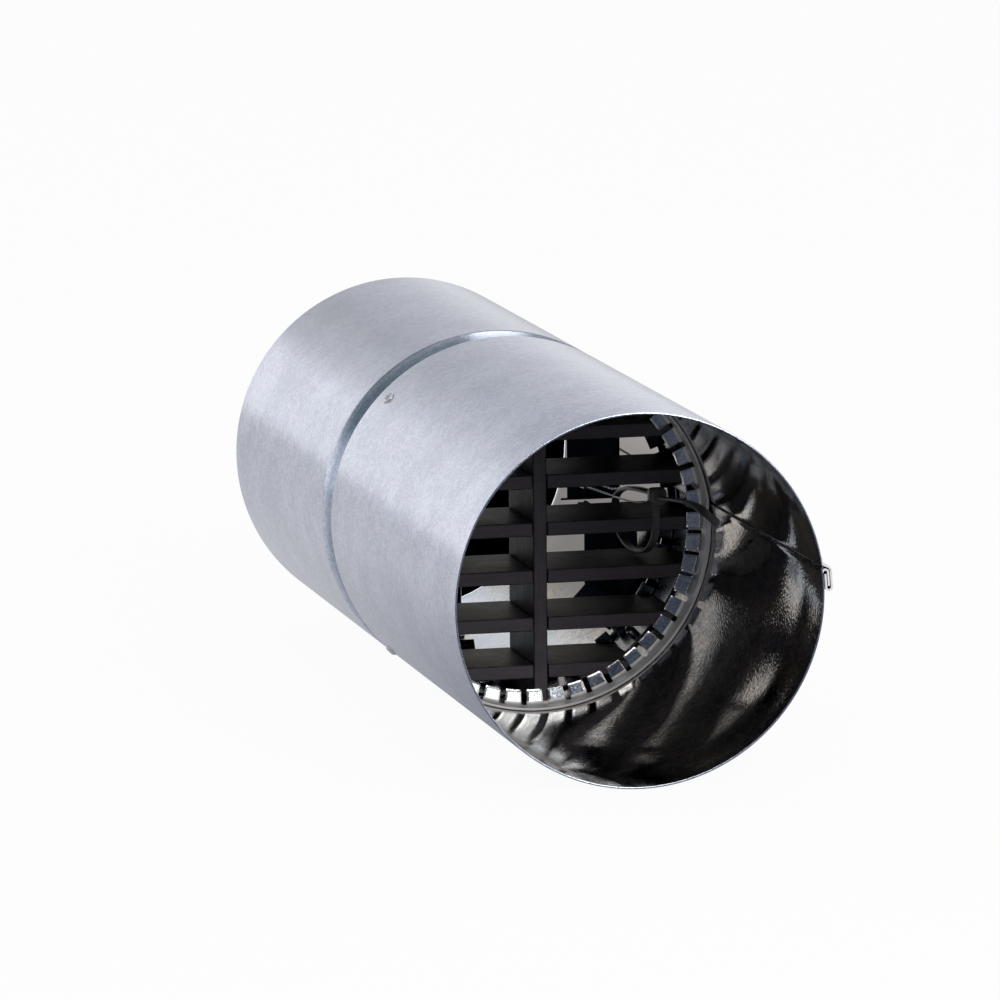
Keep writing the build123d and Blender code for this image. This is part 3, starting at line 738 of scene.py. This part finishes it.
def galvanised(name, v, p=zincPattern):
    f = Finish(name)
    turnX, turnY, turnZ = p["grainTurn"]
    grains = f.cells(v["spangle"], f.place(p["grainStretch"], (turnX * v["seed"], turnY, turnZ)))
    frost, worm, cloud, tint, facet = (
        f.noise(*p[part]) for part in ("frost", "worm", "cloud", "tint", "facet"))
    scuff = f.noise(*p["scuff"], f.place(p["scuffStretch"], p["scuffTurn"]))
    tone = (frost * p["frostShare"] + worm * p["wormShare"] + cloud * p["cloudShare"]
            + grains * p["grainShare"])
    tone = f.span(tone, *p["contrast"])
    colour = f.blend(tone, v["dark"], v["light"])
    colour = f.blend(f.span(tint, *p["tinted"]) * p["tintBy"], colour, p["tintColour"], "MULTIPLY")
    scuffed = tuple(p["scuffDarker"] * part for part in v["dark"])
    colour = f.blend(f.span(scuff, *p["scuffed"]) * v["marks"], colour, scuffed)
    roughness = v["rough"] + (frost - 0.5) * v["grain"] + (cloud - 0.5) * v["grain"] * p["cloudRough"]
    metal = 1.0
    x, y, z = (f.axis(letter) for letter in "XYZ")
    outside, behind, cut, leg = (v.get(part) for part in ("outside", "behind", "cut", "leg"))
    if outside:
        # painted shade: the top darkened, the more so towards the outlet
        top = f.span(z, *outside["topZ"]) * (1 - f.span(z, *outside["crownZ"]) * outside["crownLess"])
        paintedTopShadeMask = top * f.span(y, *outside["alongY"]) * outside["paintedTopShade"]
        colour = f.blend(paintedTopShadeMask, colour, (0.0, 0.0, 0.0))
        # painted shade in the groove: its colour darkened and tinted teal
        groove = 1 - f.span((x * x + z * z) ** 0.5, *outside["paintedGrooveShadeR"])
        colour = f.blend(groove, colour, outside["groove"], "MULTIPLY")
    if behind:
        clearSide = 1 - f.span(x, *behind["clearX"])
        rougher = behind["rough"] - v["rough"]
        roughness = roughness + f.span(y, *behind["roughY"], 0.0, rougher) * clearSide
        # painted shade behind the core, beside the slats' right ends
        shade = f.span(y, *behind["paintedShadeY"]) * f.span(x, *behind["paintedShadeX"])
        colour = f.blend(shade, colour, behind["shade"])
        # painted light: the wall behind the core paler
        pale = f.blend(tone, behind["dark"], behind["light"])
        colour = f.blend(f.span(y, *behind["paintedLightY"]) * clearSide, colour, pale)
    if cut:
        atEnd = 1 - f.span(y, *cut["endY"])
        metal = 1 - atEnd * cut["dull"]
        roughness = roughness + atEnd * cut["rougher"]
        colour = f.blend(atEnd, colour, cut["tone"])
    if leg:
        onLeg = f.span((x * x + z * z) ** 0.5, *leg["legR"])
        metal = 1 - onLeg * leg["dull"]
        roughness = roughness + onLeg * leg["rougher"]
        cloudy = f.blend(f.span(cloud, *p["legClouds"]), leg["dark"], leg["light"])
        colour = f.blend(onLeg, colour, cloudy)
    return f.surface(Base_Color=colour, Metallic=metal, Roughness=roughness,
                     # a dark edge tint, where one is given, is painted shade
                     Specular_Tint=v.get("edge", (1.0, 1.0, 1.0)),
                     Normal=f.bump(facet, v["frosting"], p["facetDepth"]))


# Pressed graphite board: fibres along the slat, a cut front painted lighter than its faces, and pale lines on
# its long edges, both wear and a painted highlight

boardValues = {
    # the cut front is lighter than the faces: partly its own tone, partly painted light
    "face": ((0.016, 0.015, 0.017), (0.026, 0.025, 0.028)),
    "cutFrontPaintedLight": ((0.064, 0.059, 0.074), (0.092, 0.086, 0.106)), "cutY": (0.19158, 0.19175),
    "wornEdgeHighlight": (0.20, 0.19, 0.20), "edgeHighlightOnFace": 0.15, "edgeHighlightOnCut": 0.55, "edgeHighlightFrom": (0.0026, 0.0030),
    "scratched": (0.16, 0.15, 0.16), "scratches": 0.4, "rough": 0.52, "gloss": 0.22,
    "fibre": (1.0, 3, 0.6), "fleck": (1500, 3, 0.7), "patch": (55, 3, 0.6), "contrast": (0.38, 0.66),
    "fibreShare": 0.35, "fleckShare": 0.30, "patchShare": 0.35, "fleckRough": 0.16, "patchRough": 0.2,
    "wearAndEdgeHighlight": (170, 3, 0.6), "edgeHighlightPatches": (0.38, 0.62), "scratch": (1.0, 2, 0.5),
    "scratchStretch": (160, 900, 2200), "scratchPatches": (0.66, 0.74), "bumpShare": 0.4,
    "relief": (0.10, 0.0001),
    # centre and pitch in mm, the axis across the board, and how its fibres stretch
    "level": {"centre": 0.0, "pitch": 21.2, "across": "Z", "fibres": (40, 300, 900)},
    "upright": {"centre": 4.0, "pitch": 400.0, "across": "X", "fibres": (900, 300, 40)},
}


def board(which, v):
    f = Finish("board_" + which)
    own = v[which]
    half = own["pitch"] * mm / 2
    offset = f.axis(own["across"]) - own["centre"] * mm
    fromMiddle = abs(f.add("ShaderNodeMath", {"operation": "WRAP"}, {0: offset, 1: half, 2: -half}))
    fibre = f.noise(*v["fibre"], f.place(own["fibres"]))
    fleck, patch = f.noise(*v["fleck"]), f.noise(*v["patch"])
    cut = 1 - f.span(f.axis("Y"), *v["cutY"])
    # pale lines on the long edges: wear, and a painted highlight where the chamfers catch light
    wearAndEdgeHighlight = f.span(fromMiddle, *v["edgeHighlightFrom"]) * f.span(f.noise(*v["wearAndEdgeHighlight"]), *v["edgeHighlightPatches"])
    scratch = f.span(f.noise(*v["scratch"], f.place(v["scratchStretch"])), *v["scratchPatches"])
    tone = fibre * v["fibreShare"] + fleck * v["fleckShare"] + patch * v["patchShare"]
    tone = f.span(tone, *v["contrast"])
    # painted light: the cut front lighter than the faces
    colour = f.blend(cut, f.blend(tone, *v["face"]), f.blend(tone, *v["cutFrontPaintedLight"]))
    colour = f.blend(wearAndEdgeHighlight * (v["edgeHighlightOnFace"] + cut * v["edgeHighlightOnCut"]), colour, v["wornEdgeHighlight"])
    colour = f.blend(scratch * cut * v["scratches"], colour, v["scratched"])
    roughness = v["rough"] + (fleck - 0.5) * v["fleckRough"] + (patch - 0.5) * v["patchRough"]
    return f.surface(Base_Color=colour, Metallic=0.0, Roughness=roughness, Specular_IOR_Level=v["gloss"],
                     Normal=f.bump(fibre * v["bumpShare"] + fleck * v["bumpShare"], *v["relief"]))


# Small parts: a noise is its scale, detail and roughness, a relief its strength and depth

nylonValues = {
    "dark": (0.092, 0.089, 0.097), "light": (0.128, 0.124, 0.134), "contrast": (0.3, 0.7),
    "shade": (240, 3, 0.6), "grain": (1800, 2, 0.6), "rough": 0.36, "uneven": 0.2, "gloss": 0.5,
    "relief": (0.10, 0.00005),
}
wireFinishValues = {
    "dark": (0.52, 0.51, 0.49), "light": (0.95, 0.93, 0.90), "contrast": (0.2, 0.9),
    "laySize": 620.0, "layWander": 0.6, "layShare": 0.6, "tone": (600, 3, 0.6), "toneShare": 0.5,
    "rough": 0.38, "uneven": 0.2, "relief": (0.6, 0.00012),
}
foamValues = {
    "dark": (0.040, 0.040, 0.044), "light": (0.082, 0.082, 0.088), "contrast": (0.3, 0.7),
    "cloud": (160, 3, 0.6), "pores": 1300.0, "rough": 0.92, "gloss": 0.3, "relief": (0.7, 0.0003),
}
aluminiumValues = {
    "tone": (420, 4, 0.65), "contrast": (0.3, 0.7), "scratch": (1.0, 3, 0.7),
    "scratchStretch": (2600, 500, 1500), "scratchTurn": (0.3, 0.5, 0.2), "uneven": 0.25,
    "relief": (0.18, 0.00008),
    "rivet_aluminium": {"dark": (0.62, 0.63, 0.65), "light": (0.80, 0.81, 0.82), "rough": 0.34},
    "ferrule_aluminium": {"dark": (0.48, 0.48, 0.49), "light": (0.66, 0.66, 0.66), "rough": 0.40},
}
steelValues = {
    "rings": (1.0, 3, 0.6), "ringStretch": (300, 300, 2600), "patch": (180, 3, 0.6),
    "contrast": (0.32, 0.68), "uneven": 0.25, "ringDepth": 0.0001,
    "mandrel_steel": {"dark": (0.24, 0.23, 0.23), "light": (0.42, 0.41, 0.41), "rough": 0.45,
                      "bite": 0.2},
    "spindle_zinc": {"dark": (0.48, 0.48, 0.47), "light": (0.66, 0.66, 0.64), "rough": 0.28,
                     "bite": 0.25},
    "clip_phosphate": {"dark": (0.08, 0.08, 0.09), "light": (0.16, 0.16, 0.17), "rough": 0.50,
                       "bite": 0.2},
    "spring_wire": {"dark": (0.26, 0.25, 0.24), "light": (0.46, 0.44, 0.42), "rough": 0.32,
                    "bite": 0.3},
}


def mouldedNylon(name, v):
    f = Finish(name)
    grain, shade = f.noise(*v["grain"]), f.noise(*v["shade"])
    colour = f.blend(f.span(shade, *v["contrast"]), v["dark"], v["light"])
    roughness = v["rough"] + (shade - 0.5) * v["uneven"]
    return f.surface(Base_Color=colour, Specular_IOR_Level=v["gloss"], Roughness=roughness,
                     Normal=f.bump(grain, *v["relief"]))


def strandedWire(name, v):
    f = Finish(name)
    lay = f.add("ShaderNodeTexWave", {"wave_type": "BANDS", "bands_direction": "DIAGONAL"}, {
        "Vector": f.place(), "Scale": v["laySize"], "Distortion": v["layWander"], "Detail": 1.0,
        "Detail Scale": 2.0}, 1)
    tone = f.noise(*v["tone"])
    both = f.span(lay * v["layShare"] + tone * v["toneShare"], *v["contrast"])
    colour = f.blend(both, v["dark"], v["light"])
    roughness = v["rough"] + (tone - 0.5) * v["uneven"]
    return f.surface(Base_Color=colour, Metallic=1.0, Roughness=roughness, Normal=f.bump(lay, *v["relief"]))


def foamStrip(name, v):
    f = Finish(name)
    pores = f.add("ShaderNodeTexVoronoi", inputs={"Vector": f.place(), "Scale": v["pores"]})
    colour = f.blend(f.span(f.noise(*v["cloud"]), *v["contrast"]), v["dark"], v["light"])
    return f.surface(Base_Color=colour, Roughness=v["rough"], Specular_IOR_Level=v["gloss"],
                     Normal=f.bump(pores, *v["relief"]))


def softAluminium(name, v):
    f = Finish(name)
    own = v[name]
    tone = f.noise(*v["tone"])
    scratch = f.noise(*v["scratch"], f.place(v["scratchStretch"], v["scratchTurn"]))
    colour = f.blend(f.span(tone, *v["contrast"]), own["dark"], own["light"])
    roughness = own["rough"] + (scratch - 0.5) * v["uneven"]
    return f.surface(Base_Color=colour, Metallic=1.0, Roughness=roughness,
                     Normal=f.bump(scratch * 0.5 + tone * 0.5, *v["relief"]))


def turnedSteel(name, v):
    f = Finish(name)
    own = v[name]
    rings = f.noise(*v["rings"], f.place(v["ringStretch"]))
    patch = f.noise(*v["patch"])
    colour = f.blend(f.span(rings * 0.5 + patch * 0.5, *v["contrast"]), own["dark"], own["light"])
    roughness = own["rough"] + (patch - 0.5) * v["uneven"]
    return f.surface(Base_Color=colour, Metallic=1.0, Roughness=roughness,
                     Normal=f.bump(rings, own["bite"], v["ringDepth"]))


finishes = {name: galvanised(name, values) for name, values in zincValues.items()}
for which in ("level", "upright"):
    finishes["board_" + which] = board(which, boardValues)
finishes["black_nylon"] = mouldedNylon("black_nylon", nylonValues)
finishes["stranded_wire"] = strandedWire("stranded_wire", wireFinishValues)
finishes["foam_seal"] = foamStrip("foam_seal", foamValues)
for name in ("rivet_aluminium", "ferrule_aluminium"):
    finishes[name] = softAluminium(name, aluminiumValues)
for name in ("mandrel_steel", "spindle_zinc", "clip_phosphate", "spring_wire"):
    finishes[name] = turnedSteel(name, steelValues)


# clearing the slots sets every face to the first, so the faces' slots are put back
def dress(piece, *materials):
    faces = [face.material_index for face in piece.data.polygons]
    piece.data.materials.clear()
    for material in materials:
        piece.data.materials.append(material)
    piece.data.polygons.foreach_set("material_index", faces)


for piece, *names in (
    (sleeve, "galvanised_outer", "galvanised_inner_painted_shading"), (seam, "galvanised_seam"), (frontRing, "ring_zinc"),
    (rearRing, "ring_zinc_rear_painted_shade"), (rivets, "rivet_aluminium"), (tie, "black_nylon"),
    (wireFront, "stranded_wire"), (wireRear, "stranded_wire"),
):
    dress(piece, *(finishes[name] for name in names))
nodeFinishes = {  # how a node's name begins: its finish
    "slat_": "board_level", "upright_slat": "board_upright", "stop_bracket": "stop_zinc_painted_shade",
    "smoke_flap": "flap_zinc", "spindle_bracket": "flap_zinc", "flap_seal": "foam_seal",
    "cable_tie": "black_nylon", "release_wire": "stranded_wire", "wire_ferrule": "ferrule_aluminium",
    "flap_spindle": "spindle_zinc", "spindle_clips": "clip_phosphate", "torsion_spring": "spring_wire",
    "rivet_mandrels": "mandrel_steel", "blind_rivets": "rivet_aluminium", "sleeve": "galvanised_outer",
    "front_clamp_ring": "ring_zinc", "rear_clamp_ring": "ring_zinc",
}
for name, node in nodes.items():
    wanted = next(finish for start, finish in nodeFinishes.items() if name.startswith(start))
    for slot in node.material_slots:
        slot.material = finishes[wanted]
print("finishes made")


# Floor, card and surroundings

white = (1.0, 1.0, 1.0)
stageValues = {  # in metres
    "floorZ": -0.0801, "floorSize": 14.0, "floorWhite": 0.95, "floorMatte": (0.82, 0.82, 0.82),
    # the floor's painted reflection: what metal sees of it, dark in front and pale behind
    "paintedReflectionBehind": (0.62, 0.62, 0.64), "paintedReflectionFront": (0.07, 0.085, 0.12), "paintedReflectionY": (-0.3, 0.6),
    # the card in the outlet: painted shade, mirrored as a painted warm grey reflection
    "cardY": 0.4440, "cardR": 0.0785, "cardSides": 72, "cardPaintedReflection": (0.80, 0.76, 0.71),
}


def makeFloor(v):
    half, z = v["floorSize"] / 2, v["floorZ"]
    corners = [(x * half, y * half, z) for x, y in ((-1, -1), (1, -1), (1, 1), (-1, 1))]
    floor = addPiece("floor", corners, [(0, 1, 2, 3)])
    f = Finish("floor_pale")
    camera = f.ray("Camera")
    # painted reflection: to glossy rays the floor glows dark in front of the duct and pale behind it
    mirrored = f.blend(f.span(f.axis("Y"), *v["paintedReflectionY"]), v["paintedReflectionFront"], v["paintedReflectionBehind"])
    colour = f.blend(camera, mirrored, white)
    seen = f.add("ShaderNodeEmission", inputs={"Color": colour, "Strength": 1.0})
    matte = f.add("ShaderNodeBsdfDiffuse", inputs={"Color": v["floorMatte"]})
    bright = (camera + f.ray("Glossy") + f.ray("Transmission")) * v["floorWhite"]
    dress(floor, f.close(f.add("ShaderNodeMixShader", inputs={0: bright, 1: matte, 2: seen})))


# a black card in the open outlet, as the photograph's view through it is black: painted shade, which shows
# only from inside the duct; metal mirrors it as a warm grey, a painted reflection, and it lets the studio
# light through
def makeCard(v):
    sides = v["cardSides"]
    rim = [onDuct(v["cardR"] / mm, v["cardY"] / mm, 360 * i / sides) for i in range(sides)]
    card = addPiece("outlet_card_painted_shade", rim, [tuple(range(sides))])
    f = Finish("card_black_painted_shade")
    camera = f.ray("Camera")
    behind = f.add("ShaderNodeNewGeometry", output="Backfacing")
    tone = f.blend(camera, v["cardPaintedReflection"], (0.0, 0.0, 0.0))
    shown = f.add("ShaderNodeEmission", inputs={"Color": tone, "Strength": 1.0})
    clear = f.add("ShaderNodeBsdfTransparent")
    there = (camera + f.ray("Glossy")) * (1 - behind)
    dress(card, f.close(f.add("ShaderNodeMixShader", inputs={0: there, 1: clear, 2: shown})))


# what metal mirrors, by the height of the direction: behind the outlet to the left and the right,
# beside the duct, and one dark colour straight in front of the inlet
worldValues = {
    "plain": (0.62, 0.62, 0.62), "inFront": (0.07, 0.085, 0.12),
    "leftToRight": (-0.08, 0.22), "besideToBack": (-0.2, 0.4), "frontToBeside": (-0.93, -0.80),
    "backLeft": ((0.0, (0.97, 0.97, 0.98)), (0.235, (0.96, 0.96, 0.98)), (0.272, (0.60, 0.61, 0.64)),
                 (0.34, (0.36, 0.38, 0.41)), (0.46, (0.20, 0.23, 0.25)), (1.0, (0.62, 0.64, 0.66))),
    "backRight": ((0.0, (0.94, 0.94, 0.95)), (0.10, (0.88, 0.88, 0.90)), (0.17, (0.72, 0.72, 0.75)),
                  (0.275, (0.50, 0.51, 0.54)), (0.36, (0.44, 0.45, 0.47)), (0.60, (0.40, 0.42, 0.45)),
                  (0.80, (0.62, 0.62, 0.64)), (1.0, (0.60, 0.60, 0.62))),
    "beside": ((0.0, (0.90, 0.90, 0.92)), (0.16, (0.74, 0.75, 0.78)), (0.30, (0.42, 0.43, 0.46)),
               (0.52, (0.55, 0.56, 0.59)), (1.0, (0.62, 0.63, 0.66))),
}


def makeWorld(v):
    scene.world = bpy.data.worlds.new("studio")
    scene.world.use_nodes = True
    s = Shading(scene.world.node_tree)
    way = s.add("ShaderNodeTexCoord", output="Generated")
    aside, ahead, height = (s.axis(letter, way) for letter in "XYZ")
    backLeft, backRight, beside = (s.add("ShaderNodeValToRGB", {"stops": v[name]}, {0: height})
                                   for name in ("backLeft", "backRight", "beside"))
    mirrored = s.blend(s.span(aside, *v["leftToRight"]), backLeft, backRight)
    mirrored = s.blend(s.span(ahead, *v["besideToBack"]), beside, mirrored)
    mirrored = s.blend(s.span(ahead, *v["frontToBeside"]), v["inFront"], mirrored)
    colour = s.blend(s.ray("Glossy") + s.ray("Transmission"), v["plain"], mirrored)
    colour = s.blend(s.ray("Camera"), colour, white)
    sky = s.add("ShaderNodeBackground", inputs={0: colour, 1: 1.0})
    s.add("ShaderNodeOutputWorld", inputs={0: sky})


# Light and camera

lampValues = {
    "soft_front": {"place": (0.68, -1.90, 0.28), "aim": (0, 0.2, 0), "width": 0.40, "height": 0.40,
                   "level": 8.5, "colour": white},
    "soft_above": {"place": (0.12, -1.66, 1.10), "aim": (0, 0.2, 0), "width": 1.50, "height": 0.50,
                   "level": 6.0, "colour": (1.0, 0.93, 0.84)},
    "soft_top": {"place": (0.50, 1.75, 1.50), "aim": (0, 0.25, 0), "width": 0.55, "height": 0.5,
                 "level": 1.6, "colour": white},
}


def makeLamps(lamps):
    for name, v in lamps.items():
        lamp = bpy.data.lights.new(name, "AREA")
        lamp.shape = "RECTANGLE"
        lamp.size = v["width"]
        lamp.size_y = v["height"]
        lamp.energy = v["level"] * math.pi * v["width"] * v["height"]
        lamp.color = v["colour"]
        holder = bpy.data.objects.new(name, lamp)
        scene.collection.objects.link(holder)
        holder.location = v["place"]
        way = Vector(v["aim"]) - Vector(v["place"])
        holder.rotation_euler = way.to_track_quat("-Z", "Y").to_euler()
        holder.visible_camera = False


cameraValues = {
    "place": (-0.8420, -3.2381, 0.5832), "right": (0.97176, -0.23583, -0.00757),
    "up": (0.04483, 0.15302, 0.98721), "lens": 292.07, "sensor": 36.0, "farthest": 60,
}


def makeCamera(v):
    data = bpy.data.cameras.new("camera")
    data.lens = v["lens"]
    data.sensor_width = v["sensor"]
    data.sensor_fit = "HORIZONTAL"
    data.clip_end = v["farthest"]
    camera = bpy.data.objects.new("camera", data)
    scene.collection.objects.link(camera)
    right, up = Vector(v["right"]).normalized(), Vector(v["up"]).normalized()
    turn = Matrix((right, up, right.cross(up))).transposed().to_4x4()
    camera.matrix_world = Matrix.Translation(Vector(v["place"])) @ turn
    scene.camera = camera


makeFloor(stageValues)
makeCard(stageValues)
makeWorld(worldValues)
makeLamps(lampValues)
makeCamera(cameraValues)
scene.view_settings.view_transform = "Standard"
print("stage, light and camera set")
